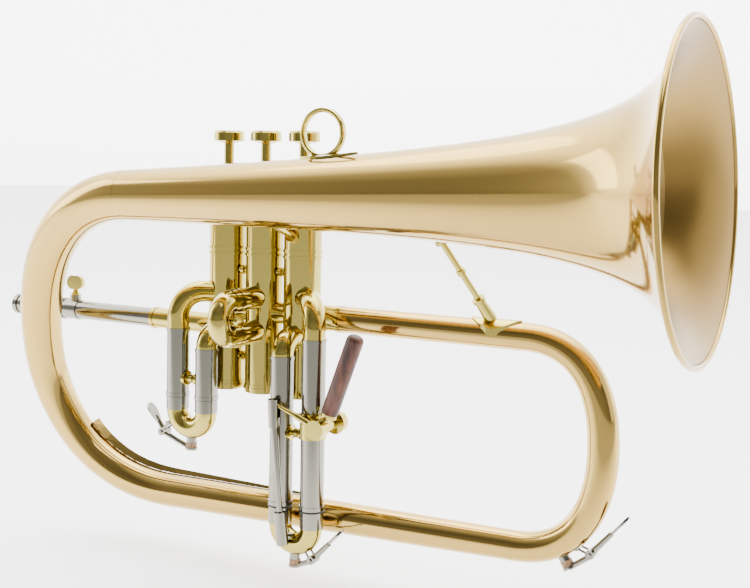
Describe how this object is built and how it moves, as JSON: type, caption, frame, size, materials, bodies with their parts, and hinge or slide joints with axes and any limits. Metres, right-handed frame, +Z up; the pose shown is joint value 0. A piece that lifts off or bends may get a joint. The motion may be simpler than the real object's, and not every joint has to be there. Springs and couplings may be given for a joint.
{
  "type": "flugelhorn",
  "caption": "Rose-brass flugelhorn with piston valves, a triggered main slide, a finger ring on a wide conical bell and nickel slides.",
  "frame": {"origin": "where the leadpipe's axis crosses the middle valve's axis", "axes": "+X towards the bell mouth, +Z up along the pistons, -Y the side the second slide comes out of"},
  "size_m": [0.4493, 0.152, 0.2884],
  "materials": {
    "rose_brass": "lacquered rose brass, polished",
    "brass": "lacquered yellow brass, polished",
    "nickel_silver": "bare nickel silver, polished",
    "monel": "lapped monel",
    "dark_inlay": "polished dark inlay",
    "spring_wire": "bronze spring wire",
    "black_rubber": "matte O-ring",
    "wood_grip": "oiled dark red wood",
    "cork": "cut cork"
  },
  "bodies": {
    "horn": {"bell": "rose_brass", "rim_bead": "rose_brass", "left_bow": "rose_brass", "bottom_run": "rose_brass", "right_bow": "rose_brass", "top_run": "rose_brass", "exit_ferrule": "brass", "casings": "brass", "casing_links": "brass", "top_caps": "brass", "bottom_caps": "brass", "valve_guides": "brass", "slide_1_crooks": "brass", "slide_1_sleeves": "nickel_silver", "slide_2_sleeves": "brass", "slide_3_crooks": "brass", "slide_3_sleeves": "nickel_silver", "slide_braces": "brass", "trigger_bracket": "brass", "key_3_seat": "nickel_silver", "leadpipe_sleeve": "nickel_silver", "leadpipe_ferrule": "brass", "finger_ring": "brass", "bell_brace": "brass", "valve_brace": "brass", "bow_guard": "brass"},
    "piston_body_1": {"piston_1": "monel", "button_1": "brass", "button_face_1": "dark_inlay", "valve_spring_1": "spring_wire"},
    "piston_body_2": {"piston_2": "monel", "button_2": "brass", "button_face_2": "dark_inlay", "valve_spring_2": "spring_wire"},
    "piston_body_3": {"piston_3": "monel", "button_3": "brass", "button_face_3": "dark_inlay", "valve_spring_3": "spring_wire"},
    "slide_1": {"slide_1_legs": "nickel_silver", "slide_1_bow": "brass", "key_1_seat": "nickel_silver"},
    "slide_2": {"slide_2_legs": "brass", "slide_2_bow": "brass"},
    "slide_3": {"slide_3_legs": "nickel_silver", "slide_3_bow": "brass", "slide_3_rings": "black_rubber", "trigger_rod": "nickel_silver", "key_2_seat": "nickel_silver"},
    "trigger": {"trigger_lever": "brass", "trigger_grip": "wood_grip"},
    "mouthpipe_body": {"mouthpipe": "nickel_silver"},
    "clamp": {"clamp_screw": "brass"},
    "key_1": {"key_1_lever": "nickel_silver", "key_1_cork": "cork"},
    "key_2": {"key_2_lever": "nickel_silver", "key_2_cork": "cork"},
    "key_3": {"key_3_lever": "nickel_silver", "key_3_cork": "cork"}
  },
  "joints": [
    {"name": "piston_1_press", "type": "slide", "parent": "horn", "child": "piston_body_1", "axis": [0, 0, -1], "range_m": [0, 0.017], "stiffness_N_per_m": 90, "springref_m": -0.02, "deforming": ["valve_spring_1"]},
    {"name": "piston_2_press", "type": "slide", "parent": "horn", "child": "piston_body_2", "axis": [0, 0, -1], "range_m": [0, 0.017], "stiffness_N_per_m": 90, "springref_m": -0.02, "deforming": ["valve_spring_2"]},
    {"name": "piston_3_press", "type": "slide", "parent": "horn", "child": "piston_body_3", "axis": [0, 0, -1], "range_m": [0, 0.017], "stiffness_N_per_m": 90, "springref_m": -0.02, "deforming": ["valve_spring_3"]},
    {"name": "slide_1_pull", "type": "slide", "parent": "horn", "child": "slide_1", "axis": [0, 0, -1], "range_m": [0, 0.022]},
    {"name": "slide_2_pull", "type": "slide", "parent": "horn", "child": "slide_2", "axis": [0, -1, 0], "range_m": [0, 0.012]},
    {"name": "trigger_swing", "type": "hinge", "parent": "horn", "child": "trigger", "pos_m": [0.057, -0.032, -0.0444], "axis": [0, -1, 0], "range_deg": [0, 19.5], "stiffness_Nm_per_rad": 0.2, "springref_deg": -34.38},
    {"name": "slide_3_pull", "type": "slide", "parent": "horn", "child": "slide_3", "axis": [0, 0, -1], "range_m": [0, 0.0099]},
    {"name": "mouthpipe_draw", "type": "slide", "parent": "horn", "child": "mouthpipe_body", "axis": [-1, 0, 0], "range_m": [-0.008, 0.022]},
    {"name": "clamp_turn", "type": "hinge", "parent": "horn", "child": "clamp", "pos_m": [-0.1425, 0, 0.009], "axis": [0, 0, 1], "range_deg": [0, 360]},
    {"name": "key_1_press", "type": "hinge", "parent": "slide_1", "child": "key_1", "pos_m": [-0.0548, -0.0202, -0.0622], "axis": [0, 1, 0], "range_deg": [0, 18], "stiffness_Nm_per_rad": 0.02, "springref_deg": -28.65},
    {"name": "key_2_press", "type": "hinge", "parent": "slide_3", "child": "key_2", "pos_m": [0.0488, -0.022, -0.119], "axis": [0, -1, 0], "range_deg": [0, 18], "stiffness_Nm_per_rad": 0.02, "springref_deg": -28.65},
    {"name": "key_3_press", "type": "hinge", "parent": "horn", "child": "key_3", "pos_m": [0.19671, 0, -0.09531], "axis": [0, -1, 0], "range_deg": [0, 18], "stiffness_Nm_per_rad": 0.02, "springref_deg": -28.65}
  ],
  "couplings": [
    {"joint": "trigger_swing", "follows": "slide_3_pull", "rad_per_m": 34.247}
  ]
}
